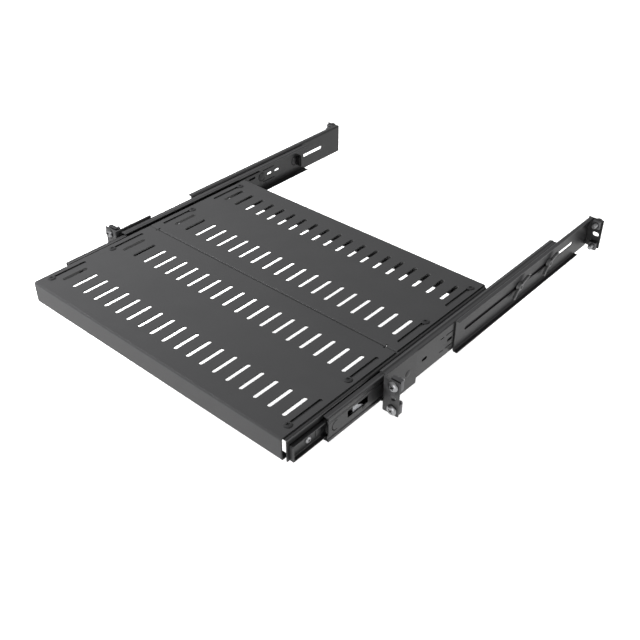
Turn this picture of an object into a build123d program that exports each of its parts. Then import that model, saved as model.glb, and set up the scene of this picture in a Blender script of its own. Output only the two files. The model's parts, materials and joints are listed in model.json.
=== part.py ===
from build123d import *
import os

os.makedirs("parts", exist_ok=True)

# Pull-out shelf for a server rack, one rack unit high.
# X points right, Y to the rear, Z up, in millimetres.
# The origin is midway between the two sides, on the rack's front mounting face, at the slides' mid height.
# The shelf stands partly pulled out.

# Rack interface
HOLE_PITCH_X = 465.12
HOLE_PITCH_Z = 31.75
RACK_GAUGE = 2.0
RACK_DEPTH = 441.1
SCREW_R = 3.0
SCREW_HOLE_R = 3.3
MIDDLE_HOLE_R = 3.5

# Clearances
FIT_GAP = 0.05
RUN_GAP = 0.3

# Places across the rack, from the hole columns inward
EAR_INSET = 14.06
EAR_MARGIN = 7.44
SLIDE_DEPTH = 12.0
SIDE_GAP = 3.0
SIDE_T = 1.5

# Tray panels
TRAY_FRONT = -136.5
TRAY_REAR = 215.5
TRAY_SEAM = 42.5
SEAM_GAP = 0.4
TRAY_TOP = 19.2
PANEL_T = 1.5
LIP_H = 28.7
LIP_RETURN = 10.0
SEAM_FLANGE_H = 12.0
SEAM_FLANGE_INSET = 15.5
RELIEF_W = 2.0
BEND_R = 2.0

# Vent slots
VENT_LENGTH = 35.0
VENT_W = 5.0
VENT_PITCH = 20.0
VENT_MARGIN = 21.0
VENT_ROW_EDGE = 43.2
VENT_ROW_PITCH = 90.0

# Panel screws and their adjusting slots
PANEL_SCREW_INSET = 8.6
PANEL_SCREW_R = 2.0
PANEL_HEAD_R = 4.7
PANEL_HEAD_H = 1.3
ADJUST_SLOT_W = 4.7
ADJUST_SLOT_LENGTH = 52.0
PANEL_SCREW_PITCH = 90.0
PANEL_SCREW_EDGE = 19.0

# Side members
SIDE_FLANGE = 19.5
SIDE_BOTTOM = -10.6
SIDE_HOLE_R = 3.0
SIDE_HOLE_Y = -70.0

# Slides
SLIDE_LENGTH = 350.0
SLIDE_T = 1.2
RACE_BEND_R = 0.6
RACE_GAP = 0.35
INNER_H = 20.4
INNER_DEPTH = 5.4
INNER_FRONT = -130.0
MIDDLE_FRONT = -82.4
MIDDLE_INSET = 1.7
MIDDLE_DEPTH = 6.0
MIDDLE_RIDGE = 1.0
MIDDLE_RIDGE_Z = 12.0
MIDDLE_PROUD = 0.8
MIDDLE_PROUD_Z = 8.5
MIDDLE_JOG = 1.0
GROOVE_DEPTH = 0.8
OUTER_INSET = 2.1
OUTER_FRONT = 5.6

# Balls and cages
INNER_BALL_INSET = 3.7
INNER_BALL_R = 1.9
OUTER_BALL_INSET = 5.5
OUTER_BALL_R = 1.5
RACE_HALF_W = 2.0
BALL_COUNT = 4
BALL_PITCH = 34.0
CAGE_T = 0.5
CAGE_END = 12.0
INNER_CAGE_FRONT = 12.0
OUTER_CAGE_FRONT = 64.0
BALL_CHAMFER = 0.29

# Window and stampings of the intermediate member, from its front end
WINDOW_INSET = 29.2
WINDOW_LENGTH = 32.7
WINDOW_BOTTOM = -2.6
WINDOW_TOP = 6.4
TONGUE_INSET = 12.4
TONGUE_DEPTH = 7.0
TONGUE_H = 12.0
TONGUE_Z = 0.5
SLIT_W = 1.0
REAR_SLOT_INSET = 12.5
REAR_SLOT_Z = 7.0
REAR_SLOT_LENGTH = 13.0

# Stampings of the inner member
INNER_STAMP_INSET = 36.0
INNER_STAMP_W = 2.0
INNER_STAMP_H = 8.0

# Stampings of the cabinet member, from its front end and from its rear end
OVAL_W = 4.0
OVAL_LENGTH = 9.5
FRONT_OVAL_INSETS = (66.9, 114.9)
REAR_OVAL_INSETS = (75.6, 59.6)
STAMP_W = 1.2
STAMP_Z = 9.0
SHORT_STAMP_INSET = 96.4
SHORT_STAMP_LENGTH = 7.0
LONG_STAMP_INSET = 107.4
LONG_STAMP_LENGTH = 14.0
REAR_STAMP_INSET = 89.6
REAR_STAMP_LENGTH = 24.0

# Rear stop of the cabinet member and its rubber pad
STOP_INSET = 14.6
STOP_H = 18.0
STOP_PAD_T = 2.3
STOP_PAD_H = 12.0
STOP_PAD_CORNER = 1.5

# Front bumper of the intermediate member
BUMPER_W = 2.0
BUMPER_HALF_H = 6.5
BUMPER_REACH = 1.6
BUMPER_BULGE = 4.0

# Latch lever
LEVER_T = 1.2
LEVER_PIVOT_INSET = 55.4
LEVER_PIVOT_Z = -5.2
LEVER_PIVOT_R = 1.5
LEVER_EYE_R = 2.3
LEVER_HEAD_H = 0.4
LEVER_BLOCK_INSET = 39.3
LEVER_BLOCK_LENGTH = 7.4

# Inner member screws
INNER_SCREW_YS = (-105.0, 90.0, 185.0)
INNER_SCREW_R = 2.0
INNER_HEAD_R = 3.8
INNER_HEAD_H = 2.0

# Front brackets
FRONT_BRACKET_T = 2.0
BRACKET_H = 44.4
FRONT_BRACKET_REAR = 56.0
RIVET_YS = (16.0, 40.0)
RIVET_R = 2.4
RIVET_HEAD_R = 4.5
RIVET_HEAD_H = 0.6

# Rear brackets
REAR_BRACKET_T = 1.5
REAR_BRACKET_FRONT = 128.5
REAR_BRACKET_DEPTH = 6.4
REAR_SLOT_W = 5.4
REAR_SLOT_FRONT = 148.0
REAR_SLOT_REAR = 400.0
REAR_CUT_Y = 410.0
REAR_OVAL_LENGTH = 9.0
REAR_OVAL_R = 3.0

# Bolts, wing nuts and rack screws
BOLT_YS = (264.0, 335.0)
BOLT_HEAD_R = 7.0
BOLT_HEAD_H = 1.6
BOLT_R = 2.5
BOLT_TIP = 0.5
WING_SPAN = 38.0
WING_T = 4.0
WING_ANGLE = 32.0
WING_HUB_R = 5.5
WING_HUB_H = 4.5
WING_LOW = 2.0
WING_TOP = 6.0
SCREW_HEAD_R = 6.2
SCREW_HEAD_H = 3.5
SCREW_LENGTH = 16.0
NUT_W = 13.0
NUT_T = 5.4
REAR_NUT_W = 11.0

# Values that follow from those above
SCREW_X = HOLE_PITCH_X / 2
SCREW_Z = HOLE_PITCH_Z / 2
OUTER_WEB_X = SCREW_X - EAR_INSET
FLANGE_EDGE_X = SCREW_X + EAR_MARGIN
SIDE_X = OUTER_WEB_X - SLIDE_DEPTH
SIDE_WEB_X = SIDE_X - SIDE_T
TRAY_W = 2 * (SIDE_WEB_X - SIDE_GAP)
PANEL_SCREW_X = TRAY_W / 2 - PANEL_SCREW_INSET
SEAM_FLANGE_W = TRAY_W - 2 * SEAM_FLANGE_INSET
VENT_COUNT = int((TRAY_W - 2 * VENT_MARGIN) / VENT_PITCH) + 1
PANEL_UNDER = TRAY_TOP - PANEL_T
INNER_WEB_X = SIDE_X + SLIDE_T
INNER_EDGE_X = SIDE_X + INNER_DEPTH
INNER_HEAD_X = INNER_WEB_X + INNER_HEAD_H
INNER_BALL_X = SIDE_X + INNER_BALL_INSET
MIDDLE_H = INNER_H + 2 * (2 * INNER_BALL_R + 2 * RUN_GAP + SLIDE_T + GROOVE_DEPTH / 2)
OUTER_H = MIDDLE_H + 2 * (2 * OUTER_BALL_R + 2 * RACE_GAP + SLIDE_T - GROOVE_DEPTH)
INNER_BALL_Z = (INNER_H + MIDDLE_H) / 4 - SLIDE_T / 2 - GROOVE_DEPTH / 4
MIDDLE_EDGE_X = SIDE_X + MIDDLE_INSET
MIDDLE_GROOVE_X = MIDDLE_EDGE_X + MIDDLE_DEPTH
MIDDLE_OUT_X = MIDDLE_GROOVE_X + MIDDLE_PROUD
MIDDLE_IN_X = MIDDLE_OUT_X - SLIDE_T
OUTER_BALL_X = SIDE_X + OUTER_BALL_INSET
OUTER_BALL_Z = (OUTER_H + MIDDLE_H) / 4 - SLIDE_T / 2 - GROOVE_DEPTH / 2
OUTER_EDGE_X = SIDE_X + OUTER_INSET
OUTER_IN_X = OUTER_WEB_X - SLIDE_T
OUTER_REAR = OUTER_FRONT + SLIDE_LENGTH
MEMBER_LENGTH = SLIDE_LENGTH - STOP_INSET
BOLT_HEAD_X = OUTER_IN_X - BOLT_HEAD_H
STOP_Y = OUTER_REAR - STOP_INSET
REAR_WEB_X = OUTER_WEB_X + RUN_GAP
REAR_FACE_X = REAR_WEB_X + REAR_BRACKET_T
WING_SEAT_X = REAR_FACE_X + RUN_GAP
LEVER_OUT_X = MIDDLE_IN_X - RUN_GAP
LEVER_IN_X = LEVER_OUT_X - LEVER_T
LEVER_PIVOT_Y = MIDDLE_FRONT + LEVER_PIVOT_INSET
LEVER_BLOCK_Y = MIDDLE_FRONT + LEVER_BLOCK_INSET
CAGE_LENGTH = (BALL_COUNT - 1) * BALL_PITCH + 2 * CAGE_END


def along(sketch, front, rear):
    """Run an XZ sketch from front to rear."""
    return extrude(Plane.XZ.offset(-rear) * sketch, rear - front)


def across(sketch, low_x, high_x):
    """Run a YZ sketch from low_x to high_x."""
    return extrude(Plane.YZ.offset(low_x) * sketch, high_x - low_x)


def upward(sketch, low_z, high_z):
    """Run an XY sketch from low_z to high_z."""
    return extrude(Plane.XY.offset(low_z) * sketch, high_z - low_z)


def bent(points, radius, thickness):
    """A sheet section of even thickness along a bent middle line."""
    return trace(FilletPolyline(*points, radius=radius), thickness)


def disc(x, y, radius):
    """A circle in a sketch."""
    return Pos(x, y) * Circle(radius)


def slot(x, y, length, width, turn=0):
    """A round-ended slot in a sketch."""
    return Pos(x, y) * SlotOverall(length, width, rotation=turn)


def block(low_x, high_x, low_y, high_y):
    """A rectangle in a sketch, by its edges."""
    return Pos((low_x + high_x) / 2, (low_y + high_y) / 2) * Rectangle(high_x - low_x, high_y - low_y)


def save(name, solids):
    """Write one node, whose solids are separate pieces."""
    pieces = list(solids) if isinstance(solids, (list, tuple)) else [solids]
    export_step(Compound(children=pieces) if len(pieces) > 1 else pieces[0], f"parts/{name}.step")


def save_pair(name, solids):
    """Write the right-hand node and its mirrored left-hand one."""
    pieces = list(solids) if isinstance(solids, (list, tuple)) else [solids]
    save(f"{name}_right", pieces)
    save(f"{name}_left", [mirror(piece, about=Plane.YZ) for piece in pieces])


def tray_panel(outer, seam, screw_ys, vent_ys, turn):
    """One folded panel: a lip at its outer edge and a short flange at the seam.

    turn is 1 where the seam lies behind the lip and -1 where it lies in front.
    """
    half = PANEL_T / 2
    lip_y = outer + turn * half
    path = [
        (seam - turn * half, TRAY_TOP - SEAM_FLANGE_H),
        (seam - turn * half, TRAY_TOP - half),
        (lip_y, TRAY_TOP - half),
        (lip_y, TRAY_TOP - LIP_H + half),
        (outer + turn * LIP_RETURN, TRAY_TOP - LIP_H + half),
    ]
    panel = across(bent(path, BEND_R, PANEL_T), -TRAY_W / 2, TRAY_W / 2)
    relief = block(SEAM_FLANGE_W / 2, TRAY_W, -SEAM_FLANGE_H - LIP_H, TRAY_TOP - PANEL_T)
    inner_y = seam - turn * (BEND_R + PANEL_T)
    for side in (relief, mirror(relief, about=Plane.YZ)):
        panel -= along(side, min(inner_y, seam + turn), max(inner_y, seam + turn))
    cuts = Sketch()
    for side in (1, -1):
        edge = side * (SEAM_FLANGE_W + RELIEF_W) / 2
        cuts += block(edge - RELIEF_W / 2, edge + RELIEF_W / 2, min(inner_y, seam), max(inner_y, seam))
        for y in screw_ys:
            reach = (ADJUST_SLOT_LENGTH - ADJUST_SLOT_W) / 2
            cuts += slot(side * PANEL_SCREW_X, y + turn * reach, ADJUST_SLOT_LENGTH, ADJUST_SLOT_W, 90)
    for y in vent_ys:
        for place in GridLocations(VENT_PITCH, 1, VENT_COUNT, 1):
            cuts += slot(place.position.X, y, VENT_LENGTH, VENT_W, 90)
    return panel - upward(cuts, TRAY_TOP - PANEL_T - 0.5, TRAY_TOP + 0.5)


def panel_screws(ys):
    """Low-head screws through the adjusting slots into the side members."""
    screws = []
    for side in (1, -1):
        for y in ys:
            spot = (side * PANEL_SCREW_X, y)
            head = upward(disc(*spot, PANEL_HEAD_R), TRAY_TOP, TRAY_TOP + PANEL_HEAD_H)
            shank = upward(disc(*spot, PANEL_SCREW_R), PANEL_UNDER - 2 * SIDE_T, TRAY_TOP)
            screws.append(head + shank)
    return screws


def side_member(screw_ys):
    """Angle that joins the panels to the slide, with tapped holes for the panel screws."""
    half = SIDE_T / 2
    path = [
        (SIDE_X - half, SIDE_BOTTOM),
        (SIDE_X - half, PANEL_UNDER - half),
        (SIDE_X - SIDE_FLANGE, PANEL_UNDER - half),
    ]
    end_gap = PANEL_T + BEND_R
    member = along(bent(path, BEND_R, SIDE_T), TRAY_FRONT + end_gap, TRAY_REAR - end_gap)
    taps = Sketch()
    for y in screw_ys:
        taps += disc(PANEL_SCREW_X, y, PANEL_SCREW_R + FIT_GAP)
    member -= upward(taps, PANEL_UNDER - 2 * SIDE_T, TRAY_TOP)
    holes = disc(SIDE_HOLE_Y, 0, SIDE_HOLE_R)
    for y in INNER_SCREW_YS:
        holes += disc(y, 0, INNER_SCREW_R + FIT_GAP)
    return member - across(holes, SIDE_WEB_X - 1, SIDE_X + 1)


def inner_member():
    """Channel that opens outward, with its front end closed by a folded tab."""
    half = SLIDE_T / 2
    top = INNER_H / 2 - half
    path = [(INNER_EDGE_X, -top), (SIDE_X + half, -top), (SIDE_X + half, top), (INNER_EDGE_X, top)]
    member = along(bent(path, SLIDE_T, SLIDE_T), INNER_FRONT, INNER_FRONT + MEMBER_LENGTH)
    tab_top = INNER_H / 2 - SLIDE_T - RUN_GAP
    tab = block(INNER_WEB_X - half, INNER_EDGE_X, -tab_top, tab_top)
    member += along(tab, INNER_FRONT, INNER_FRONT + SLIDE_T)
    stamp = block(INNER_WEB_X - half, INNER_WEB_X + half, -INNER_STAMP_H / 2, INNER_STAMP_H / 2)
    stamp_y = INNER_FRONT + INNER_STAMP_INSET
    member += along(stamp, stamp_y, stamp_y + INNER_STAMP_W)
    holes = disc(SIDE_HOLE_Y, 0, SIDE_HOLE_R)
    for y in INNER_SCREW_YS:
        holes += disc(y, 0, INNER_SCREW_R + FIT_GAP)
    return member - across(holes, SIDE_X - 1, INNER_WEB_X + 1)


def inner_screws():
    """Pan-head screws that hold the inner member to the side member."""
    screws = []
    for y in INNER_SCREW_YS:
        head = across(disc(y, 0, INNER_HEAD_R), INNER_WEB_X, INNER_HEAD_X)
        shank = across(disc(y, 0, INNER_SCREW_R), SIDE_WEB_X - 1, INNER_WEB_X)
        screws.append(head + shank)
    return screws


def latch_lever():
    """Lever behind the intermediate member's web, whose block shows in the window."""
    mid_z = (WINDOW_BOTTOM + WINDOW_TOP) / 2
    block_rear = LEVER_BLOCK_Y + LEVER_BLOCK_LENGTH
    eye = disc(LEVER_PIVOT_Y, LEVER_PIVOT_Z, LEVER_EYE_R)
    arm = make_hull((eye + disc(block_rear - LEVER_EYE_R, mid_z, LEVER_EYE_R)).edges())
    lever = across(arm, LEVER_IN_X, LEVER_OUT_X)
    knob = block(LEVER_BLOCK_Y, block_rear, WINDOW_BOTTOM, WINDOW_TOP)
    lever += across(knob, INNER_HEAD_X + RUN_GAP, LEVER_OUT_X)
    hole = disc(LEVER_PIVOT_Y, LEVER_PIVOT_Z, LEVER_PIVOT_R + FIT_GAP)
    return lever - across(hole, LEVER_IN_X - 1, LEVER_OUT_X + 1)


def lever_pivot():
    """Rivet in the intermediate member's web that the latch lever turns on."""
    spot = (LEVER_PIVOT_Y, LEVER_PIVOT_Z)
    head_x = LEVER_IN_X - RUN_GAP
    rivet = across(disc(*spot, LEVER_PIVOT_R), head_x, MIDDLE_OUT_X)
    rivet += across(disc(*spot, LEVER_EYE_R), MIDDLE_OUT_X, MIDDLE_OUT_X + LEVER_HEAD_H)
    return rivet + across(disc(*spot, LEVER_EYE_R), head_x - LEVER_HEAD_H, head_x)


def intermediate_member():
    """Channel with a raised web, a proud ridge at each corner and a raceway on both flange faces."""
    half = SLIDE_T / 2
    top = MIDDLE_H / 2 - half
    groove_x = MIDDLE_GROOVE_X - half
    ridge_x = groove_x + MIDDLE_RIDGE
    web_x = MIDDLE_OUT_X - half
    upper = [
        (web_x, MIDDLE_PROUD_Z - half),
        (groove_x, MIDDLE_PROUD_Z - half + MIDDLE_JOG),
        (groove_x, MIDDLE_RIDGE_Z - half),
        (ridge_x, MIDDLE_RIDGE_Z - half + MIDDLE_JOG),
        (ridge_x, top),
        (OUTER_BALL_X, top - GROOVE_DEPTH),
        (MIDDLE_EDGE_X, top),
    ]
    lower = [(x, -z) for x, z in upper]
    section = bent(lower[::-1] + upper, RACE_BEND_R, SLIDE_T)
    member = along(section, MIDDLE_FRONT, MIDDLE_FRONT + MEMBER_LENGTH)
    window_front = MIDDLE_FRONT + WINDOW_INSET
    cuts = block(window_front, window_front + WINDOW_LENGTH, WINDOW_BOTTOM, WINDOW_TOP)
    tongue_y = MIDDLE_FRONT + TONGUE_INSET
    high = (tongue_y, TONGUE_Z + TONGUE_H / 2)
    low = (tongue_y, TONGUE_Z - TONGUE_H / 2)
    cuts += SlotArc(ThreePointArc(high, (tongue_y - TONGUE_DEPTH, TONGUE_Z), low), SLIT_W)
    rear_slot_y = MIDDLE_FRONT + MEMBER_LENGTH - REAR_SLOT_INSET
    cuts += slot(rear_slot_y, REAR_SLOT_Z, REAR_SLOT_LENGTH, OVAL_W)
    cuts += disc(LEVER_PIVOT_Y, LEVER_PIVOT_Z, LEVER_PIVOT_R + FIT_GAP)
    return member - across(cuts, MIDDLE_IN_X - 1, MIDDLE_OUT_X + 1)


def bumper():
    """Curved buffer on the inside of the intermediate member's web, reaching past its front end."""
    tip = MIDDLE_FRONT - BUMPER_REACH + BUMPER_W / 2
    ends = tip + BUMPER_BULGE
    arc = ThreePointArc((ends, -BUMPER_HALF_H), (tip, 0), (ends, BUMPER_HALF_H))
    return across(trace(arc, BUMPER_W), INNER_EDGE_X + RUN_GAP, MIDDLE_IN_X)


def cage(ball_x, ball_z, ball_r, web_x, edge_x, front):
    """Channel-shaped retainer with a pocket for each ball of the upper and lower rows."""
    half = CAGE_T / 2
    path = [(edge_x, -ball_z), (web_x, -ball_z), (web_x, ball_z), (edge_x, ball_z)]
    retainer = along(bent(path, CAGE_T, CAGE_T), front, front + CAGE_LENGTH)
    pockets = Sketch()
    for index in range(BALL_COUNT):
        y = front + CAGE_END + index * BALL_PITCH
        size = 2 * (ball_r + FIT_GAP)
        pockets += Pos(ball_x, y) * Rectangle(size, size)
    return retainer - upward(pockets, -ball_z - ball_r, ball_z + ball_r)


def balls(ball_x, ball_z, ball_r, front):
    """Upper and lower rows of bearing balls, each a many-sided solid of the ball's size."""
    row = []
    for index in range(BALL_COUNT):
        y = front + CAGE_END + index * BALL_PITCH
        for z in (ball_z, -ball_z):
            cube = Box(2 * ball_r, 2 * ball_r, 2 * ball_r)
            ball = chamfer(cube.edges(), 2 * ball_r * BALL_CHAMFER)
            row.append(Pos(ball_x, y, z) * ball)
    return row


def cabinet_member():
    """Fixed channel that opens inward, with a raceway in each flange and a folded stop at its rear."""
    half = SLIDE_T / 2
    top = OUTER_H / 2 - half
    web_x = OUTER_WEB_X - half
    upper = [
        (web_x, top - GROOVE_DEPTH),
        (OUTER_BALL_X + RACE_HALF_W, top - GROOVE_DEPTH),
        (OUTER_BALL_X, top),
        (OUTER_BALL_X - RACE_HALF_W, top - GROOVE_DEPTH),
        (OUTER_EDGE_X, top - GROOVE_DEPTH),
    ]
    lower = [(x, -z) for x, z in upper]
    member = along(bent(lower[::-1] + upper, RACE_BEND_R, SLIDE_T), OUTER_FRONT, OUTER_REAR)
    cuts = Sketch()
    oval_ys = [OUTER_FRONT + inset for inset in FRONT_OVAL_INSETS]
    oval_ys += [OUTER_REAR - inset for inset in REAR_OVAL_INSETS]
    for y in oval_ys:
        cuts += slot(y, 0, OVAL_LENGTH, OVAL_W)
    stamps = [
        (OUTER_FRONT + SHORT_STAMP_INSET, SHORT_STAMP_LENGTH),
        (OUTER_FRONT + LONG_STAMP_INSET, LONG_STAMP_LENGTH),
        (OUTER_REAR - REAR_STAMP_INSET, REAR_STAMP_LENGTH),
    ]
    for front, length in stamps:
        for z in (-STAMP_Z, STAMP_Z):
            cuts += block(front, front + length, z - STAMP_W / 2, z + STAMP_W / 2)
    for y in RIVET_YS:
        cuts += disc(y, 0, RIVET_R + FIT_GAP)
    for y in BOLT_YS:
        cuts += Pos(y, 0) * Rectangle(2 * (BOLT_R + FIT_GAP), 2 * (BOLT_R + FIT_GAP))
    member -= across(cuts, web_x - 1, web_x + 1)
    stop = along(block(OUTER_EDGE_X, web_x, -STOP_H / 2, STOP_H / 2), STOP_Y, STOP_Y + SLIDE_T)
    for y in BOLT_YS:
        stop -= across(disc(y, 0, BOLT_HEAD_R + RUN_GAP), BOLT_HEAD_X - RUN_GAP, OUTER_WEB_X)
    return member + stop


def stop_pad():
    """Rubber pad on the front face of the cabinet member's stop."""
    low_x = OUTER_EDGE_X + STOP_PAD_CORNER
    high_x = BOLT_HEAD_X - RUN_GAP
    pad = Pos((low_x + high_x) / 2, 0) * RectangleRounded(high_x - low_x, STOP_PAD_H, STOP_PAD_CORNER)
    return along(pad, STOP_Y - STOP_PAD_T, STOP_Y)


def front_bracket():
    """Angle riveted to the cabinet member, with an ear that bolts to the rack's front."""
    half = FRONT_BRACKET_T / 2
    web_x = OUTER_WEB_X + half
    path = [(web_x, FRONT_BRACKET_REAR), (web_x, -half), (FLANGE_EDGE_X, -half)]
    bracket = upward(bent(path, BEND_R, FRONT_BRACKET_T), -BRACKET_H / 2, BRACKET_H / 2)
    ear = disc(SCREW_X, 0, MIDDLE_HOLE_R)
    for z in (SCREW_Z, -SCREW_Z):
        ear += disc(SCREW_X, z, SCREW_HOLE_R)
    bracket -= along(ear, -FRONT_BRACKET_T - 1, 1)
    holes = Sketch()
    for y in RIVET_YS:
        holes += disc(y, 0, RIVET_R + FIT_GAP)
    return bracket - across(holes, OUTER_WEB_X - 1, OUTER_WEB_X + FRONT_BRACKET_T + 1)


def bracket_rivets():
    """Flat rivets that join the front bracket to the cabinet member."""
    rivets = []
    outer_x = OUTER_WEB_X + FRONT_BRACKET_T
    for y in RIVET_YS:
        rivet = across(disc(y, 0, RIVET_R), OUTER_IN_X, outer_x)
        rivet += across(disc(y, 0, RIVET_HEAD_R), OUTER_IN_X - RIVET_HEAD_H, OUTER_IN_X)
        rivet += across(disc(y, 0, RIVET_HEAD_R), outer_x, outer_x + RIVET_HEAD_H)
        rivets.append(rivet)
    return rivets


def rack_screw(z, head_y, turn):
    """Pan-head screw through an ear; turn is 1 where the thread runs to the rear."""
    head = along(disc(SCREW_X, z, SCREW_HEAD_R), min(head_y, head_y - turn * SCREW_HEAD_H),
                 max(head_y, head_y - turn * SCREW_HEAD_H))
    shank = along(disc(SCREW_X, z, SCREW_R), min(head_y, head_y + turn * SCREW_LENGTH),
                  max(head_y, head_y + turn * SCREW_LENGTH))
    return head + shank


def square_nut(z, front, width):
    """Square nut on a rack screw."""
    body = Pos(SCREW_X, z) * Rectangle(width, width)
    return along(body - disc(SCREW_X, z, SCREW_R + FIT_GAP), front, front + NUT_T)


def rear_bracket():
    """Slotted channel that opens outward, with an ear that bolts to the rack's rear."""
    half = REAR_BRACKET_T / 2
    top = BRACKET_H / 2 - half
    edge = REAR_WEB_X + REAR_BRACKET_DEPTH
    web_x = REAR_WEB_X + half
    path = [(edge, -top), (web_x, -top), (web_x, top), (edge, top)]
    bracket = along(bent(path, BEND_R, REAR_BRACKET_T), REAR_BRACKET_FRONT, RACK_DEPTH)
    low = -BRACKET_H / 2
    ear_low = low + BEND_R + half
    bracket -= along(block(REAR_FACE_X, edge + 1, low - 1, ear_low), REAR_CUT_Y, RACK_DEPTH + 1)
    ear = block(REAR_WEB_X, FLANGE_EDGE_X, ear_low, BRACKET_H / 2)
    bracket += along(ear, RACK_DEPTH - REAR_BRACKET_T, RACK_DEPTH)
    holes = slot(SCREW_X, 0, REAR_OVAL_LENGTH, 2 * REAR_OVAL_R)
    for z in (SCREW_Z, -SCREW_Z):
        holes += disc(SCREW_X, z, SCREW_HOLE_R)
    bracket -= along(holes, RACK_DEPTH - REAR_BRACKET_T - 1, RACK_DEPTH + 1)
    length = REAR_SLOT_REAR - REAR_SLOT_FRONT
    window = slot((REAR_SLOT_REAR + REAR_SLOT_FRONT) / 2, 0, length, REAR_SLOT_W)
    return bracket - across(window, REAR_WEB_X - 1, REAR_FACE_X + 1)


def carriage_bolts():
    """Bolts with square necks in the cabinet member and threads through the rear bracket's slot."""
    bolts = []
    for y in BOLT_YS:
        bolt = across(disc(y, 0, BOLT_R), OUTER_WEB_X, WING_SEAT_X + WING_HUB_H + BOLT_TIP)
        bolt += across(Pos(y, 0) * Rectangle(2 * BOLT_R, 2 * BOLT_R), OUTER_IN_X, OUTER_WEB_X)
        bolt += across(disc(y, 0, BOLT_HEAD_R), BOLT_HEAD_X, OUTER_IN_X)
        bolts.append(bolt)
    return bolts


def wing_nut(y):
    """Low wing nut against the rear bracket, with two slightly rising wings."""
    seat = WING_SEAT_X
    hub = across(disc(0, 0, WING_HUB_R), seat, seat + WING_HUB_H)
    half_span = WING_SPAN / 2
    outline = [
        (0, 0),
        (WING_HUB_R, 0),
        (half_span, WING_LOW),
        (half_span, WING_TOP),
        (WING_HUB_R, WING_HUB_H),
        (0, WING_HUB_H),
    ]
    wing = Plane((seat, 0, 0), x_dir=(0, 1, 0), z_dir=(0, 0, -1)) * make_face(Polyline(*outline, close=True))
    wing = extrude(wing, WING_T / 2, both=True)
    nut = hub + wing + mirror(wing, about=Plane.XZ)
    nut -= across(disc(0, 0, BOLT_R + FIT_GAP), seat - 1, seat + WING_HUB_H + 1)
    return Pos(0, y, 0) * Rot(WING_ANGLE, 0, 0) * nut


front_screw_ys = [TRAY_FRONT + PANEL_SCREW_EDGE + step * PANEL_SCREW_PITCH for step in (0, 1)]
rear_screw_ys = [TRAY_REAR - PANEL_SCREW_EDGE - step * PANEL_SCREW_PITCH for step in (1, 0)]
front_vent_ys = [TRAY_FRONT + VENT_ROW_EDGE + step * VENT_ROW_PITCH for step in (0, 1)]
rear_vent_ys = [TRAY_REAR - VENT_ROW_EDGE - step * VENT_ROW_PITCH for step in (1, 0)]
all_screw_ys = front_screw_ys + rear_screw_ys

save("tray_front_panel", tray_panel(TRAY_FRONT, TRAY_SEAM - SEAM_GAP / 2, front_screw_ys, front_vent_ys, 1))
save("tray_rear_panel", tray_panel(TRAY_REAR, TRAY_SEAM + SEAM_GAP / 2, rear_screw_ys, rear_vent_ys, -1))
save("panel_screws", panel_screws(all_screw_ys))
save_pair("side_member", side_member(all_screw_ys))
save_pair("inner_member", inner_member())
save_pair("inner_screws", inner_screws())
save_pair("latch_lever", latch_lever())
save_pair("lever_pivot", lever_pivot())
save_pair("intermediate_member", intermediate_member())
save_pair("bumper", bumper())

inner_cage_web = INNER_EDGE_X + RUN_GAP + CAGE_T / 2
inner_rows = (INNER_BALL_X, INNER_BALL_Z, INNER_BALL_R)
save_pair("inner_cage", cage(*inner_rows, inner_cage_web, MIDDLE_EDGE_X, INNER_CAGE_FRONT))
save_pair("inner_balls", balls(*inner_rows, INNER_CAGE_FRONT))
outer_cage_web = MIDDLE_GROOVE_X + MIDDLE_RIDGE + RUN_GAP + CAGE_T
outer_rows = (OUTER_BALL_X, OUTER_BALL_Z, OUTER_BALL_R)
save_pair("outer_cage", cage(*outer_rows, outer_cage_web, OUTER_BALL_X - RACE_HALF_W, OUTER_CAGE_FRONT))
save_pair("outer_balls", balls(*outer_rows, OUTER_CAGE_FRONT))

save_pair("cabinet_member", cabinet_member())
save_pair("stop_pad", stop_pad())
save_pair("front_bracket", front_bracket())
save_pair("bracket_rivets", bracket_rivets())
save_pair("front_screws", [rack_screw(z, -FRONT_BRACKET_T, 1) for z in (SCREW_Z, -SCREW_Z)])
save_pair("front_nuts", [square_nut(z, RACK_GAUGE, NUT_W) for z in (SCREW_Z, -SCREW_Z)])
save_pair("carriage_bolts", carriage_bolts())
save_pair("wing_nut_front", wing_nut(BOLT_YS[0]))
save_pair("wing_nut_rear", wing_nut(BOLT_YS[1]))

rear_nut_front = RACK_DEPTH - REAR_BRACKET_T - NUT_T
save_pair("rear_bracket", rear_bracket())
save_pair("rear_screws", [rack_screw(z, RACK_DEPTH + RACK_GAUGE, -1) for z in (SCREW_Z, -SCREW_Z)])
save_pair("rear_nuts", [square_nut(z, rear_nut_front, REAR_NUT_W) for z in (SCREW_Z, -SCREW_Z)])
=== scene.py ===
# %% [markdown]
# # A pull-out shelf for a server rack
# The real shelf is folded from black-coated sheet steel. Two vented panels make the tray, and a
# three-part ball-bearing slide carries it on each side. The solid parts come in ready-made, in metres,
# and this file dresses them: a camera, soft light, finishes, and the small parts that deserve more care.

# %% Load the solid parts
import bmesh
import bpy
import json
import math
from mathutils import Matrix, Vector


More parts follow.
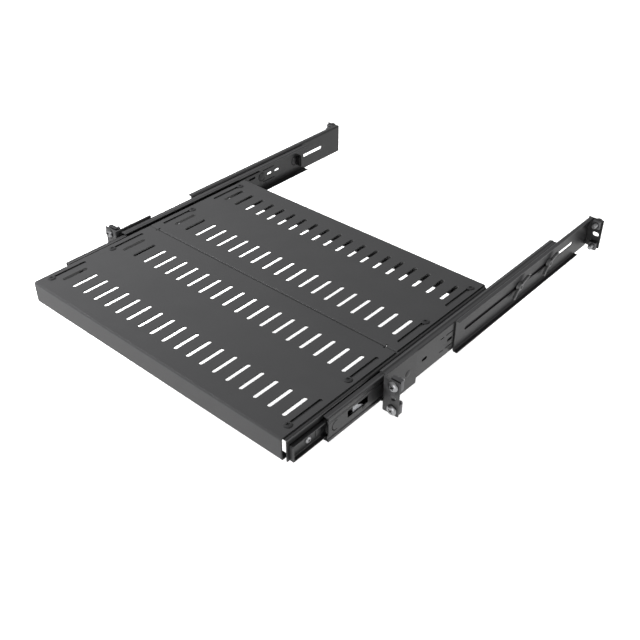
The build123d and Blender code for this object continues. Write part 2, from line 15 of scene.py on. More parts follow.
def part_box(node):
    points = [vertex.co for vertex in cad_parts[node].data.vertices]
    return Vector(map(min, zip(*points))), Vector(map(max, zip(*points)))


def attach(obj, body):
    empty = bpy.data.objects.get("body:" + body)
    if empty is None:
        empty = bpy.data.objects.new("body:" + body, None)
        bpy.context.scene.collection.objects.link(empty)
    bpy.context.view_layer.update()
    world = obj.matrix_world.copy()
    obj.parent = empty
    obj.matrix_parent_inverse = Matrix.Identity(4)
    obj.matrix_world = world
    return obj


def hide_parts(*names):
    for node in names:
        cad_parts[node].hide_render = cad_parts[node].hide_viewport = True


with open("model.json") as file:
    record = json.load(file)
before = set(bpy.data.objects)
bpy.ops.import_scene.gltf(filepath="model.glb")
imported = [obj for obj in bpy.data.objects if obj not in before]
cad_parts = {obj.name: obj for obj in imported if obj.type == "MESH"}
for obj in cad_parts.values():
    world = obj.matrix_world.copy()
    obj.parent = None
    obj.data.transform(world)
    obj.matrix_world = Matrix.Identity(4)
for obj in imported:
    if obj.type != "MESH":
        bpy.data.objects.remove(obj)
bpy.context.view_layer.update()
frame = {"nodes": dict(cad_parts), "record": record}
nodes = frame["nodes"]

# %% [markdown]
# ## Camera
# The picture looks down on the shelf from the front right, from about a metre away and through a normal
# lens of about 50 mm. The place is given as a point in the rack's own frame, in metres, with a heading
# and a downward tilt. Those values came from matching the heads of the rack screws and the tray's
# corners.

# %% Camera
CAMERA_PLACE = (0.632395, -0.567896, 0.603127)
CAMERA_TILT = math.radians(90 - 36.142)
CAMERA_HEADING = math.radians(41.451)
SENSOR = 36.0
FOCAL_PIXELS = 884.84
IMAGE_PIXELS = 640

camera_data = bpy.data.cameras.new("camera")
camera_data.sensor_width = SENSOR
camera_data.lens = FOCAL_PIXELS / IMAGE_PIXELS * SENSOR
camera = bpy.data.objects.new("camera", camera_data)
bpy.context.scene.collection.objects.link(camera)
camera.location = CAMERA_PLACE
camera.rotation_euler = (CAMERA_TILT, 0, CAMERA_HEADING)
bpy.context.scene.camera = camera
print("lens", round(camera_data.lens, 2), "mm")

# %% [markdown]
# ## Light and floor
# Black coated steel shows mostly what it mirrors, so the studio round it matters more than its colour.
# The world and the floor look white to the camera. Mirror-like rays meet a white floor and a dimmer
# sky, so upright faces shine a little and level faces stay dark. To all other rays the room is almost
# unlit, so the insides of the channels stay black and the lamps do the work. The floor also keeps the
# shelf's shadow, because only part of its whiteness is glow.

# %% White surroundings
WHITE = (1, 1, 1, 1)
FLOOR_Z = -0.16
FLOOR_SIZE = 12
FLOOR_SHADE = (0.93, 0.93, 0.93, 1)
FLOOR_ROUGH = 0.9
WORLD_FILL = 0.05
FLOOR_GLOW = 0.9
FLOOR_MIRRORED = 1.05
SKY_GLOW = 1.0
SKY_MIRRORED = 0.38


def white_for_sight(tree, lit, glow_kind, seen_glow, mirrored_glow, add_lit):
    """A glow for camera, mirror and see-through rays, and the lit shader for all other rays.

    Where add_lit is true, the camera sees both added up, so that a shadow shows, while mirror-like
    rays still see the glow alone.
    """
    path = tree.nodes.new("ShaderNodeLightPath")
    mirrored = tree.nodes.new("ShaderNodeMath")
    mirrored.operation = "MAXIMUM"
    tree.links.new(path.outputs["Is Glossy Ray"], mirrored.inputs[0])
    tree.links.new(path.outputs["Is Transmission Ray"], mirrored.inputs[1])
    seen = tree.nodes.new("ShaderNodeMath")
    seen.operation = "MAXIMUM"
    tree.links.new(path.outputs["Is Camera Ray"], seen.inputs[0])
    tree.links.new(mirrored.outputs[0], seen.inputs[1])
    glow = tree.nodes.new(glow_kind)
    glow.inputs["Color"].default_value = WHITE
    strength = tree.nodes.new("ShaderNodeMath")
    strength.operation = "MULTIPLY_ADD"
    strength.inputs[1].default_value = mirrored_glow - seen_glow
    strength.inputs[2].default_value = seen_glow
    tree.links.new(path.outputs["Is Glossy Ray"], strength.inputs[0])
    tree.links.new(strength.outputs[0], glow.inputs["Strength"])
    shown = glow.outputs[0]
    if add_lit:
        both = tree.nodes.new("ShaderNodeAddShader")
        tree.links.new(glow.outputs[0], both.inputs[0])
        tree.links.new(lit, both.inputs[1])
        even = tree.nodes.new("ShaderNodeMixShader")
        tree.links.new(path.outputs["Is Glossy Ray"], even.inputs[0])
        tree.links.new(both.outputs[0], even.inputs[1])
        tree.links.new(glow.outputs[0], even.inputs[2])
        shown = even.outputs[0]
    mix = tree.nodes.new("ShaderNodeMixShader")
    tree.links.new(seen.outputs[0], mix.inputs[0])
    tree.links.new(lit, mix.inputs[1])
    tree.links.new(shown, mix.inputs[2])
    return mix.outputs[0]


print("a shader for white surroundings is ready")

# %% [markdown]
# The shader goes on the world and on a wide floor a little below the shelf. The floor counts as stage,
# so it is no part of the shelf.

# %% World and floor
world = bpy.data.worlds.new("studio")
bpy.context.scene.world = world
world.use_nodes = True
fill = world.node_tree.nodes["Background"]
fill.inputs["Color"].default_value = WHITE
fill.inputs["Strength"].default_value = WORLD_FILL
sky = white_for_sight(world.node_tree, fill.outputs[0], "ShaderNodeBackground",
                      SKY_GLOW, SKY_MIRRORED, add_lit=False)
world.node_tree.links.new(sky, world.node_tree.nodes["World Output"].inputs["Surface"])

bpy.ops.mesh.primitive_plane_add(size=FLOOR_SIZE, location=(0, 0, FLOOR_Z))
floor = bpy.context.object
floor.name = "floor"
floor_paint = bpy.data.materials.new("pale_floor")
floor_paint.use_nodes = True
floor_tree = floor_paint.node_tree
paint = floor_tree.nodes["Principled BSDF"]
paint.inputs["Base Color"].default_value = FLOOR_SHADE
paint.inputs["Roughness"].default_value = FLOOR_ROUGH
floor_look = white_for_sight(floor_tree, paint.outputs[0], "ShaderNodeEmission",
                             FLOOR_GLOW, FLOOR_MIRRORED, add_lit=True)
floor_tree.links.new(floor_look, floor_tree.nodes["Material Output"].inputs["Surface"])
floor.data.materials.append(floor_paint)
bpy.context.scene.view_settings.view_transform = "Standard"
print("floor at", FLOOR_Z, "world fill", WORLD_FILL)

# %% [markdown]
# ## Lamps
# Three square soft boxes. The main one stands close by at the front left, so the tray is lightest there
# and fades towards its far right corner; shiny faces do not mirror it, because a lamp so near would
# leave hard sparks on every rounded edge. A weaker one far in front reaches the ears and the wing nuts.
# One low at the right and a little behind lights the outer webs of the slides: the ears throw their
# shadow forward, and the channels stay black inside.

# %% Soft boxes


def soft_box(name, place, size, power, mirrored):
    """A square soft lamp aimed at the shelf's middle; mirrored says whether shiny faces show it."""
    data = bpy.data.lights.new(name, "AREA")
    data.size = size
    data.energy = power
    holder = bpy.data.objects.new(name, data)
    bpy.context.scene.collection.objects.link(holder)
    holder.location = place
    holder.visible_glossy = mirrored
    aim = MIDDLE - Vector(place)
    holder.rotation_euler = aim.to_track_quat("-Z", "Y").to_euler()


MIDDLE = Vector((0, 0.12, 0))
soft_box("main_box", (-0.70, -0.46, 0.80), size=0.5, power=37, mirrored=False)
soft_box("front_box", (0.55, -2.0, 0.22), size=0.6, power=10, mirrored=True)
soft_box("right_box", (2.0, 0.85, 0.40), size=0.4, power=10, mirrored=True)
print("three soft boxes aimed at the middle of the shelf")

# %% [markdown]
# ## Finishes
# Powder coat is a baked plastic skin: satin, with a very fine orange-peel ripple and faint cloudiness.
# Object coordinates are in metres here, so a noise scale of 900 gives grains about a millimetre wide.
# Every finish is one Principled shader whose colour, roughness and bump come from such noises. Folded
# sheet has no knife edges, so a Bevel node rounds the way light falls on each edge by part of a
# millimetre. Little light gets into grooves and slots, which an Ambient Occlusion node finds, and there
# the coat's colour and its mirror-like part are painted darker: this is painted shade.

# %% Finish maker
CLOUD_SCALE = 35.0
CLOUD_DETAIL = 4.0
GRAIN_DETAIL = 2.0
GRAIN_DEPTH = 0.0005
EDGE_ROUND = 0.0004
EDGE_SAMPLES = 4
GROOVE_REACH = 0.0035
GROOVE_SAMPLES = 8
GROOVE_SHUT = 0.15
GROOVE_OPEN = 0.65


def finish(name, dark, light, rough, metal=0.0, grain=900.0, ripple=0.05, spread=0.08,
           stretch=(1, 1, 1), gloss=0.42, groove=0.1):
    """A coat whose colour wanders between two shades and whose roughness wanders by spread.

    Gloss is the strength of its mirror-like part, and groove is the share of both that is left
    in a closed groove, where the rest is painted shade. Stretch lengthens the grain.
    """
    made = bpy.data.materials.new(name)
    made.use_nodes = True
    tree = made.node_tree
    shader = tree.nodes["Principled BSDF"]
    shader.inputs["Metallic"].default_value = metal
    where = tree.nodes.new("ShaderNodeTexCoord")
    turn = tree.nodes.new("ShaderNodeMapping")
    turn.inputs["Scale"].default_value = stretch
    tree.links.new(where.outputs["Object"], turn.inputs["Vector"])

    clouds = tree.nodes.new("ShaderNodeTexNoise")
    clouds.inputs["Scale"].default_value = CLOUD_SCALE
    clouds.inputs["Detail"].default_value = CLOUD_DETAIL
    tree.links.new(turn.outputs[0], clouds.inputs["Vector"])
    shades = tree.nodes.new("ShaderNodeMix")
    shades.data_type = "RGBA"
    shades.inputs["A"].default_value = (*dark, 1)
    shades.inputs["B"].default_value = (*light, 1)
    tree.links.new(clouds.outputs["Fac"], shades.inputs["Factor"])

    # Painted shade: where the Ambient Occlusion node finds a groove, the colour is scaled down to the
    # share groove.
    groove_occlusion = tree.nodes.new("ShaderNodeAmbientOcclusion")
    groove_occlusion.samples = GROOVE_SAMPLES
    groove_occlusion.inputs["Distance"].default_value = GROOVE_REACH
    painted_groove_shade = tree.nodes.new("ShaderNodeMapRange")
    painted_groove_shade.interpolation_type = "SMOOTHSTEP"
    painted_groove_shade.inputs["From Min"].default_value = GROOVE_SHUT
    painted_groove_shade.inputs["From Max"].default_value = GROOVE_OPEN
    painted_groove_shade.inputs["To Min"].default_value = groove
    tree.links.new(groove_occlusion.outputs["AO"], painted_groove_shade.inputs["Value"])
    coat = tree.nodes.new("ShaderNodeVectorMath")
    coat.operation = "SCALE"
    tree.links.new(shades.outputs["Result"], coat.inputs["Vector"])
    tree.links.new(painted_groove_shade.outputs["Result"], coat.inputs["Scale"])
    tree.links.new(coat.outputs["Vector"], shader.inputs["Base Color"])
    # The mirror-like part gets the same painted shade in grooves.
    shine = tree.nodes.new("ShaderNodeMath")
    shine.operation = "MULTIPLY"
    shine.inputs[1].default_value = gloss
    tree.links.new(painted_groove_shade.outputs["Result"], shine.inputs[0])
    tree.links.new(shine.outputs[0], shader.inputs["Specular IOR Level"])

    fine = tree.nodes.new("ShaderNodeTexNoise")
    fine.inputs["Scale"].default_value = grain
    fine.inputs["Detail"].default_value = GRAIN_DETAIL
    tree.links.new(turn.outputs[0], fine.inputs["Vector"])
    sheen = tree.nodes.new("ShaderNodeMapRange")
    sheen.inputs["To Min"].default_value = rough - spread
    sheen.inputs["To Max"].default_value = rough + spread
    tree.links.new(fine.outputs["Fac"], sheen.inputs["Value"])
    tree.links.new(sheen.outputs["Result"], shader.inputs["Roughness"])

    edges = tree.nodes.new("ShaderNodeBevel")
    edges.samples = EDGE_SAMPLES
    edges.inputs["Radius"].default_value = EDGE_ROUND
    bump = tree.nodes.new("ShaderNodeBump")
    bump.inputs["Strength"].default_value = ripple
    bump.inputs["Distance"].default_value = GRAIN_DEPTH
    tree.links.new(fine.outputs["Fac"], bump.inputs["Height"])
    tree.links.new(edges.outputs["Normal"], bump.inputs["Normal"])
    tree.links.new(bump.outputs["Normal"], shader.inputs["Normal"])
    return made


print("a finish maker is ready")

# %% [markdown]
# The tray and the brackets are powder coated. The slides have a thinner, smoother black whose grain
# runs along the rolling direction. The rack and slide screws, the nuts and the ball cages are zinc
# plated, the other small hardware is black, and the bumpers and pads are rubber.

# %% Six finishes
ROLLED = (6, 1, 6)
FINISHES = {
    "powder_coat": finish("powder_coat", (0.034, 0.034, 0.035), (0.040, 0.040, 0.041), rough=0.38),
    "slide_black": finish("slide_black", (0.032, 0.032, 0.033), (0.040, 0.040, 0.041), rough=0.34,
                          ripple=0.02, grain=260, stretch=ROLLED),
    "black_screw": finish("black_screw", (0.021, 0.021, 0.022), (0.027, 0.027, 0.028), rough=0.34,
                          gloss=0.34),
    "zinc": finish("zinc", (0.31, 0.315, 0.32), (0.45, 0.45, 0.46), rough=0.40, metal=1.0,
                   grain=500, ripple=0.04, gloss=0.5),
    "ball_steel": finish("ball_steel", (0.55, 0.55, 0.56), (0.62, 0.62, 0.63), rough=0.14,
                         metal=1.0, ripple=0.0, spread=0.02, gloss=0.5, groove=1),
    "black_rubber": finish("black_rubber", (0.010, 0.010, 0.010), (0.016, 0.016, 0.016),
                           rough=0.75, ripple=0.1),
}
SLOTS = {row["node"]: row["material_slot"] for row in frame["record"]["subparts"]}
for name, slot_name in SLOTS.items():
    part = nodes[name]
    part.data.materials.clear()
    part.data.materials.append(FINISHES[slot_name])
print(len(FINISHES), "finishes on", len(SLOTS), "solid parts")

# %% [markdown]
# Three kinds of piece differ from the rest of their finish. The latch lever is punched from plain
# plated strip, so it is paler and duller than a screw. Square nuts come dull from the plating drum. The
# wing nuts are cast, and a thin coat leaves them a lighter grey.

# %% Looks of single pieces
plated_strip = finish("plated_strip", (0.50, 0.51, 0.53), (0.60, 0.61, 0.63), rough=0.46,
                      metal=0.35, groove=1)
dull_zinc = finish("dull_zinc", (0.11, 0.11, 0.115), (0.17, 0.17, 0.175), rough=0.42,
                   metal=0.9, grain=500)
cast_grey = finish("cast_grey", (0.18, 0.18, 0.182), (0.22, 0.22, 0.222), rough=0.40, groove=0.5)
SIDES = (("right", 1), ("left", -1))
LOOKS = {name: FINISHES[slot_name] for name, slot_name in SLOTS.items()}
for side, _ in SIDES:
    LOOKS["latch_lever_" + side] = plated_strip
    LOOKS["front_nuts_" + side] = LOOKS["rear_nuts_" + side] = dull_zinc
    LOOKS["wing_nut_front_" + side] = LOOKS["wing_nut_rear_" + side] = cast_grey
for name, look in LOOKS.items():
    nodes[name].data.materials[0] = look
print(len({look.name for look in LOOKS.values()}), "looks in use")

# %% [markdown]
# ## Where the small parts sit
# Screws, nuts, rivets and balls come in groups: one ready-made part holds several separate solids. To
# dress each of them, we need the box round every solid. The ready-made mesh is loose triangles, so a
# copy of it is merged first, and then each island of joined faces is one solid.

# %% Boxes of separate solids
MERGE = 0.00001


def solid_boxes(node):
    """The lowest and highest corner of each separate solid in a ready-made part."""
    copy = bmesh.new()
    copy.from_mesh(nodes[node].data)
    bmesh.ops.remove_doubles(copy, verts=copy.verts, dist=MERGE)
    left = set(copy.verts)
    boxes = []
    while left:
        island, waiting = [], [left.pop()]
        while waiting:
            point = waiting.pop()
            island.append(point.co.copy())
            for link in point.link_edges:
                other = link.other_vert(point)
                if other in left:
                    left.discard(other)
                    waiting.append(other)
        low = Vector([min(p[k] for p in island) for k in range(3)])
        high = Vector([max(p[k] for p in island) for k in range(3)])
        boxes.append((low, high))
    copy.free()
    return sorted(boxes, key=lambda box: tuple(round(v, 5) for v in box[0]))


balls_on_one_side = len(solid_boxes("inner_balls_right")) + len(solid_boxes("outer_balls_right"))
print(len(solid_boxes("panel_screws")), "panel screws,", balls_on_one_side, "balls on each side")

# %% [markdown]
# ## A turned shape and a screw thread
# Heads, rivets and hubs are round, so they are turned: a profile of radius and height goes round the
# axis, as on a lathe. A profile is written in shares of a radius and a height, so that one serves
# several sizes. A thread is the same idea with a radius that also changes with the angle, so that its
# ridge climbs one pitch in each turn.

# %% Lathe and thread
THREAD_DEPTH = 0.5
THREAD_CHAMFER = 0.25
STEPS_IN_TURN = 6


def scaled(shares, radius, height):
    """A profile's points at their real size."""
    return [(across * radius, up * height) for across, up in shares]


def turned(shape, profile, sides=40):
    """Adds a closed round shape; the profile's pairs of radius and height start and end on the axis."""
    rings = []
    for radius, height in profile:
        count = sides if radius else 1
        ring = []
        for k in range(count):
            angle = 2 * math.pi * k / sides
            ring.append(shape.verts.new((radius * math.cos(angle), radius * math.sin(angle), height)))
        rings.append(ring)
    join_rings(shape, rings, sides)


def join_rings(shape, rings, sides):
    """Joins each ring of points to the next with faces; a ring of one point closes an end."""
    for upper, lower in zip(rings, rings[1:]):
        for k in range(sides):
            after = k + 1
            corners = [upper[k % len(upper)], lower[k % len(lower)],
                       lower[after % len(lower)], upper[after % len(upper)]]
            shape.faces.new(list(dict.fromkeys(corners)))


def threaded(shape, radius, pitch, top, bottom, sides=24):
    """Adds a closed threaded rod from top to bottom, with a short chamfer at its lower end."""
    depth = THREAD_DEPTH * pitch
    steps = max(4, round(STEPS_IN_TURN * (top - bottom) / pitch))
    rings = [[shape.verts.new((0, 0, top))]]
    for step in range(steps + 1):
        height = top + (bottom - top) * step / steps
        taper = min(1.0, 1 - THREAD_CHAMFER + THREAD_CHAMFER * (height - bottom) / pitch)
        ring = []
        for k in range(sides):
            phase = (height / pitch + k / sides) % 1
            reach = min(radius * taper, radius - depth * abs(2 * phase - 1))
            angle = 2 * math.pi * k / sides
            ring.append(shape.verts.new((reach * math.cos(angle), reach * math.sin(angle), height)))
        rings.append(ring)
    rings.append([shape.verts.new((0, 0, bottom))])
    join_rings(shape, rings, sides)


SHARP = math.radians(32)


def as_object(name, shape):
    """Turns a bmesh into an object whose faces point outwards and whose round parts look smooth."""
    bmesh.ops.recalc_face_normals(shape, faces=shape.faces)
    mesh = bpy.data.meshes.new(name)
    shape.to_mesh(mesh)
    shape.free()
    mesh.shade_smooth()
    mesh.set_sharp_from_angle(angle=SHARP)
    made = bpy.data.objects.new(name, mesh)
    bpy.context.scene.collection.objects.link(made)
    return made


def frozen(made):
    """Replaces an object's modifiers by the mesh they give."""
    graph = bpy.context.evaluated_depsgraph_get()
    result = bpy.data.meshes.new_from_object(made.evaluated_get(graph))
    made.modifiers.clear()
    made.data = result
    made.data.shade_smooth()
    made.data.set_sharp_from_angle(angle=SHARP)


print("a lathe and a thread cutter are ready")

# %% [markdown]
# ## Patterns for the screws
# Each kind of screw is made once, with its head's top at height zero and its shank pointing down.
# A cross recess for the driver is cut from the head by a Boolean modifier, the way a punch forms the
# real one. The rod starts just inside the head, so that the two are one solid piece to the eye.

# %% Screw maker
PAN_TOP = [(0, 0), (0.45, -0.04), (0.72, -0.14)]
PAN_SHOULDER = 0.90
PAN_SIDE = [(1, -0.62), (1, -0.95), (0.97, -1), (0, -1)]
CROSS_REACH, CROSS_WIDTH, CROSS_DEPTH = 0.62, 0.24, 0.75
CROSS_TAPER = 0.55
INSIDE = 0.98


def box_shape(shape, low, high):
    """Adds a closed box between two corners."""
    grown = bmesh.ops.create_cube(shape, size=1)
    for point in grown["verts"]:
        point.co = Vector([low[k] if point.co[k] < 0 else high[k] for k in range(3)])


def recess_cutter(reach, width, depth):
    """A cross-shaped punch that stands in the head's top."""
    shape = bmesh.new()
    for turn in (0, math.pi / 2):
        arm = bmesh.ops.create_cube(shape, size=1)
        for point in arm["verts"]:
            low = point.co.z < 0
            narrow = CROSS_TAPER if low else 1.0
            along = math.copysign(reach * narrow, point.co.x)
            across = math.copysign(width / 2, point.co.y)
            spot = Vector((along, across, 0))
            spot.rotate(Matrix.Rotation(turn, 3, "Z"))
            point.co = Vector((spot.x, spot.y, -depth if low else depth))
    return as_object("cutter", shape)


def cut(made, cutter):
    """Takes the cutter's shape out of an object."""
    tool = made.modifiers.new("recess", "BOOLEAN")
    tool.operation = "DIFFERENCE"
    tool.solver = "EXACT"
    tool.use_self = True
    tool.object = cutter
    frozen(made)
    bpy.data.objects.remove(cutter)
    return made


def screw(name, head_r, head_h, rod_r, pitch, length, crown=0.35):
    """A pan-head screw with a cross recess; crown says how far its top falls to the shoulder."""
    head = bmesh.new()
    turned(head, scaled([*PAN_TOP, (PAN_SHOULDER, -crown), *PAN_SIDE], head_r, head_h))
    punch = recess_cutter(CROSS_REACH * head_r, CROSS_WIDTH * head_r, CROSS_DEPTH * head_h)
    made = cut(as_object(name, head), punch)
    whole = bmesh.new()
    whole.from_mesh(made.data)
    threaded(whole, rod_r, pitch, -INSIDE * head_h, -length)
    bpy.data.objects.remove(made)
    return as_object(name, whole)


print("a screw maker is ready")

# %% [markdown]
# ## Setting the patterns in place
# A small Geometry Nodes tree sets one pattern on every spot. It turns the pattern's axis to face the
# given way, gives each copy its own turn about that axis, because nobody tightens screws to the same
# angle, and then makes the copies real and gives them their finish. The result is a plain mesh.

# %% Geometry Nodes tree


def setting_tree():
    """Sets a piece on each spot, facing one way, each with its own turn."""
    tree = bpy.data.node_groups.new("set_on_spots", "GeometryNodeTree")
    for label, kind in (("Spots", "Geometry"), ("Piece", "Object"), ("Facing", "Vector"),
                        ("Most turn", "Float"), ("Seed", "Int"), ("Finish", "Material")):
        tree.interface.new_socket(label, in_out="INPUT", socket_type="NodeSocket" + kind)
    tree.interface.new_socket("Pieces", in_out="OUTPUT", socket_type="NodeSocketGeometry")
    given = tree.nodes.new("NodeGroupInput")
    done = tree.nodes.new("NodeGroupOutput")
    piece = tree.nodes.new("GeometryNodeObjectInfo")
    tree.links.new(given.outputs["Piece"], piece.inputs["Object"])
    facing = tree.nodes.new("FunctionNodeAlignRotationToVector")
    facing.axis = "Z"
    tree.links.new(given.outputs["Facing"], facing.inputs["Vector"])
    placed = tree.nodes.new("GeometryNodeInstanceOnPoints")
    tree.links.new(given.outputs["Spots"], placed.inputs["Points"])
    tree.links.new(piece.outputs["Geometry"], placed.inputs["Instance"])
    tree.links.new(facing.outputs["Rotation"], placed.inputs["Rotation"])
    chance = tree.nodes.new("FunctionNodeRandomValue")
    chance.data_type = "FLOAT"
    tree.links.new(given.outputs["Most turn"], chance.inputs[3])
    tree.links.new(given.outputs["Seed"], chance.inputs["Seed"])
    about = tree.nodes.new("ShaderNodeCombineXYZ")
    tree.links.new(chance.outputs[1], about.inputs["Z"])
    spun = tree.nodes.new("GeometryNodeRotateInstances")
    tree.links.new(placed.outputs["Instances"], spun.inputs["Instances"])
    tree.links.new(about.outputs[0], spun.inputs["Rotation"])
    real = tree.nodes.new("GeometryNodeRealizeInstances")
    tree.links.new(spun.outputs["Instances"], real.inputs["Geometry"])
    coat = tree.nodes.new("GeometryNodeSetMaterial")
    tree.links.new(real.outputs["Geometry"], coat.inputs["Geometry"])
    tree.links.new(given.outputs["Finish"], coat.inputs["Material"])
    tree.links.new(coat.outputs["Geometry"], done.inputs["Pieces"])
    return tree


SETTING = setting_tree()
print("a tree of", len(SETTING.nodes), "nodes")

# %% [markdown]
# A spot is the middle of a solid's outermost face, because every pattern has its top at height zero.
# Each result rides on the body of the part that it stands for, and takes that part's material slot.

# %% Setting on spots
ENTRY = {item.name: item.identifier for item in SETTING.interface.items_tree if item.in_out == "INPUT"}
BODIES = frame["record"]["behaviour"]["bodies"]
BODY_OF = {name: body for body, names in BODIES.items() for name in names}


def set_on_spots(node, pattern, facing, spots, most_turn=0.0, seed=1):
    """Sets a pattern on the spots of one ready-made part and lets the result stand for that part."""
    base = bpy.data.meshes.new(node + "_spots")
    base.from_pydata([tuple(spot) for spot in spots], [], [])
    made = bpy.data.objects.new(node + "_fine", base)
    bpy.context.scene.collection.objects.link(made)
    setter = made.modifiers.new("set", "NODES")
    setter.node_group = SETTING
    setter[ENTRY["Piece"]] = pattern
    setter[ENTRY["Facing"]] = facing
    setter[ENTRY["Most turn"]] = most_turn
    setter[ENTRY["Seed"]] = seed
    setter[ENTRY["Finish"]] = LOOKS[node]
    graph = bpy.context.evaluated_depsgraph_get()
    result = bpy.data.meshes.new_from_object(made.evaluated_get(graph))
    made.modifiers.clear()
    made.data = result
    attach(made, BODY_OF[node])
    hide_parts(node)


def head_spots(node, axis, sign):
    """The middle of the outermost face of each solid, looking along one axis."""
    spots = []
    for low, high in solid_boxes(node):
        spot = (low + high) / 2
        spot[axis] = high[axis] if sign > 0 else low[axis]
        spots.append(spot)
    return spots


def solid_length(node, axis):
    """How long the first solid of a part is along one axis."""
    low, high = solid_boxes(node)[0]
    return high[axis] - low[axis]


print("tree inputs:", ", ".join(ENTRY))

# %% [markdown]
# ## Panel screws and slide screws
# Eight black low-head screws hold the panels, and three pan-head screws hold each inner member. Both
# are M4, a size whose thread climbs 0.7 mm in a turn.

# %% Small screws
M4_R = 0.002
M4_PITCH = 0.0007
HALF_TURN = math.pi
X, Y, Z = 0, 1, 2
panel_screw = screw("panel_screw", head_r=0.0047, head_h=0.0013, rod_r=M4_R, pitch=M4_PITCH,
                    length=solid_length("panel_screws", Z))
set_on_spots("panel_screws", panel_screw, (0, 0, 1), head_spots("panel_screws", Z, 1),
             most_turn=HALF_TURN, seed=3)
slide_screw = screw("slide_screw", head_r=0.0038, head_h=0.002, rod_r=M4_R, pitch=M4_PITCH,
                    length=solid_length("inner_screws_right", X))
for side, sign in SIDES:
    node = "inner_screws_" + side
    set_on_spots(node, slide_screw, (sign, 0, 0), head_spots(node, X, sign),
                 most_turn=HALF_TURN, seed=5 + sign)
print("8 panel screws, 6 slide screws")

# %% [markdown]
# ## Rack screws and nuts
# The ears are held by M6 pan-head screws in square nuts. At the front the heads face forward, and at
# the rear backward, so that the thread's end shows in the nut in front of the rear ear. A square nut
# is stamped from bar: its corners are slightly rounded and its hole is countersunk.

# %% Rack screws and nuts
M6_R = 0.003
M6_PITCH = 0.001
NUT_ROUND = 0.0006
NUT_SINK = 0.0007
rack_screw = screw("rack_screw", head_r=0.0062, head_h=0.0035, rod_r=M6_R, pitch=M6_PITCH,
                   length=solid_length("front_screws_right", Y), crown=0.4)


def square_nut(name, width, height):
    """A square nut with softened edges and a countersunk hole, its top at height zero."""
    blank = bmesh.new()
    box_shape(blank, (-width / 2, -width / 2, -height), (width / 2, width / 2, 0))
    bmesh.ops.bevel(blank, geom=blank.edges, offset=NUT_ROUND, segments=2, profile=0.6,
                    affect="EDGES")
    drill = bmesh.new()
    rim = M6_R + NUT_SINK + NUT_SINK
    turned(drill, [(0, NUT_SINK), (rim, NUT_SINK), (M6_R, -NUT_SINK), (M6_R, NUT_SINK - height),
                   (rim, -height - NUT_SINK), (0, -height - NUT_SINK)], sides=32)
    return cut(as_object(name, blank), as_object("cutter", drill))


front_nut = square_nut("front_nut", width=0.013, height=solid_length("front_nuts_right", Y))
rear_nut = square_nut("rear_nut", width=0.011, height=solid_length("rear_nuts_right", Y))
RACK_SETS = (("front_screws_", rack_screw, -1, HALF_TURN), ("rear_screws_", rack_screw, 1, HALF_TURN),
             ("front_nuts_", front_nut, -1, 0), ("rear_nuts_", rear_nut, -1, 0))
for side, _ in SIDES:
    for group, pattern, way, turn in RACK_SETS:
        node = group + side
        set_on_spots(node, pattern, (0, way, 0), head_spots(node, Y, way),
                     most_turn=turn, seed=len(node))
print("8 rack screws and 8 nuts")

# %% [markdown]
# ## Carriage bolts, rivets and bearing balls
# A carriage bolt has a smooth domed head, because a square neck keeps it from turning. A rivet is a
# short pin with a flat dome at each end. The balls are polished steel, and here they become true balls.

# %% Bolts, rivets and balls
M5_R = 0.0025
M5_PITCH = 0.0008
BOLT_DOME = [(0, 0), (0.4, -0.08), (0.75, -0.34), (0.94, -0.66), (1, -0.92), (1, -1), (0, -1)]
RIVET_DOME = [(0, 0), (0.5, -0.12), (0.85, -0.5), (1, -1)]
BALL_ROWS = 12


def carriage_bolt(length):
    """A domed head with a sharp rim, a square neck and an M5 thread."""
    head_r, head_h, neck = 0.007, 0.0016, 0.0012
    shape = bmesh.new()
    turned(shape, scaled(BOLT_DOME, head_r, head_h))
    box_shape(shape, (-M5_R, -M5_R, -head_h - neck), (M5_R, M5_R, -INSIDE * head_h))
    threaded(shape, M5_R, M5_PITCH, -head_h - INSIDE * neck, -length)
    return as_object("carriage_bolt", shape)


def rivet(length):
    """A pin with a flat dome at each end."""
    head_r, head_h, pin_r = 0.0045, 0.0006, 0.0024
    near = scaled(RIVET_DOME, head_r, head_h)
    pin = [(pin_r, -head_h), (pin_r, head_h - length)]
    far = [(across, -up - length) for across, up in reversed(near)]
    shape = bmesh.new()
    turned(shape, near + pin + far)
    return as_object("rivet", shape)


def ball(diameter):
    """A bearing ball, its top at height zero."""
    profile = []
    for k in range(BALL_ROWS + 1):
        angle = math.pi * k / BALL_ROWS
        reach = 0 if k in (0, BALL_ROWS) else diameter / 2 * math.sin(angle)
        profile.append((reach, diameter / 2 * (math.cos(angle) - 1)))
    shape = bmesh.new()
    turned(shape, profile, sides=24)
    return as_object("ball", shape)


bolt_pattern = carriage_bolt(solid_length("carriage_bolts_right", X))
rivet_pattern = rivet(solid_length("bracket_rivets_right", X))
inner_ball = ball(solid_length("inner_balls_right", X))
outer_ball = ball(solid_length("outer_balls_right", X))
INWARD, OUTWARD = -1, 1
SIDE_SETS = (("carriage_bolts_", bolt_pattern, INWARD), ("bracket_rivets_", rivet_pattern, OUTWARD),
             ("inner_balls_", inner_ball, OUTWARD), ("outer_balls_", outer_ball, OUTWARD))
for side, sign in SIDES:
    for group, pattern, facing in SIDE_SETS:
        node = group + side
        way = facing * sign
        set_on_spots(node, pattern, (way, 0, 0), head_spots(node, X, way))
print("4 bolts, 4 rivets,", 2 * balls_on_one_side, "balls")

# %% [markdown]
# ## Wing nuts
# A wing nut is cast: a tapered hub with two wings that spread and rise a little and are rounded at the
# rim. The wings are cut from an outline and rounded by a bevel, and the hub is turned. One pattern is
# made standing on height zero, and a turned copy of it goes to each of the four places.

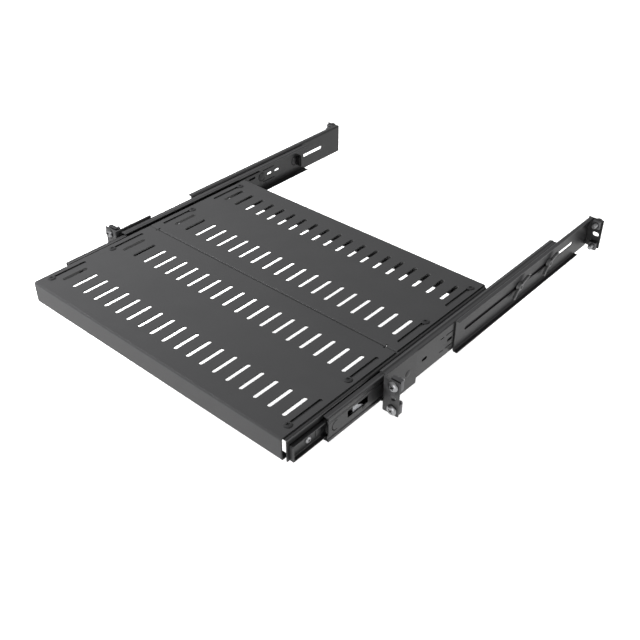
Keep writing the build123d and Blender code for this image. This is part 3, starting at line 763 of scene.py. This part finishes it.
# %% Wing nut
HUB = [(0, 1), (0.62, 1), (0.78, 0.92), (0.92, 0.4), (1, 0.12), (1, 0), (0, 0)]
WING_FOOT = [(0.2, 0.05), (1, 0.05)]
WING_EDGE = [(0.55, 0.16), (0.86, 0.30), (0.96, 0.42), (1, 0.60), (0.99, 0.86), (0.95, 1),
             (0.86, 0.98), (0.66, 0.88), (0.44, 0.76)]
WING_ROOT = [(0.2, 0.70)]
WING_ROUND = 0.32


def wing_nut(span, rise, hub_r, hub_h, thick):
    """A wing nut standing on height zero, its wings along X."""
    shape = bmesh.new()
    turned(shape, scaled(HUB, hub_r, hub_h))
    outline = scaled(WING_FOOT, hub_r, rise) + scaled(WING_EDGE, span / 2, rise)
    outline += scaled(WING_ROOT, hub_r, rise)
    for side in (1, -1):
        wing = bmesh.new()
        near = [wing.verts.new((side * x, -thick / 2, z)) for x, z in outline]
        far = [wing.verts.new((side * x, thick / 2, z)) for x, z in outline]
        wing.faces.new(near)
        wing.faces.new(far[::-1])
        for k in range(len(outline)):
            after = (k + 1) % len(outline)
            wing.faces.new((near[k], far[k], far[after], near[after]))
        bmesh.ops.recalc_face_normals(wing, faces=wing.faces)
        rim = [edge for edge in wing.edges if abs(edge.verts[0].co.y - edge.verts[1].co.y) < MERGE]
        bmesh.ops.bevel(wing, geom=rim, offset=WING_ROUND * thick, segments=3, profile=0.5,
                        affect="EDGES")
        part = bpy.data.meshes.new("wing")
        wing.to_mesh(part)
        wing.free()
        shape.from_mesh(part)
        bpy.data.meshes.remove(part)
    return as_object("wing_nut", shape)


WING_ANGLE = math.radians(32)
wing_low, wing_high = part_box("wing_nut_front_right")
WING_RISE = wing_high[X] - wing_low[X]
wing_pattern = wing_nut(span=0.038, rise=WING_RISE, hub_r=0.0055, hub_h=0.0045, thick=0.003)
for side, sign in SIDES:
    for end in ("front", "rear"):
        node = "wing_nut_" + end + "_" + side
        low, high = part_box(node)
        seat = low[X] if sign > 0 else high[X]
        spot = Vector((seat, (low[Y] + high[Y]) / 2, (low[Z] + high[Z]) / 2))
        turn = Matrix(((0, 0, sign),
                       (sign * math.cos(WING_ANGLE), -math.sin(WING_ANGLE), 0),
                       (sign * math.sin(WING_ANGLE), math.cos(WING_ANGLE), 0)))
        made = bpy.data.objects.new(node + "_fine", wing_pattern.data.copy())
        bpy.context.scene.collection.objects.link(made)
        made.data.transform(Matrix.Translation(spot) @ turn.to_4x4())
        made.data.materials.append(LOOKS[node])
        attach(made, BODY_OF[node])
        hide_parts(node)
print("4 wing nuts, each", round(WING_RISE * 1000, 1), "mm high")

# %% [markdown]
# The patterns have done their work. They are taken off the bench, so that only finished pieces remain.

# %% Clear the patterns away
for pattern in (panel_screw, slide_screw, rack_screw, front_nut, rear_nut, bolt_pattern, rivet_pattern,
                inner_ball, outer_ball, wing_pattern):
    bpy.data.objects.remove(pattern)
print("patterns removed")
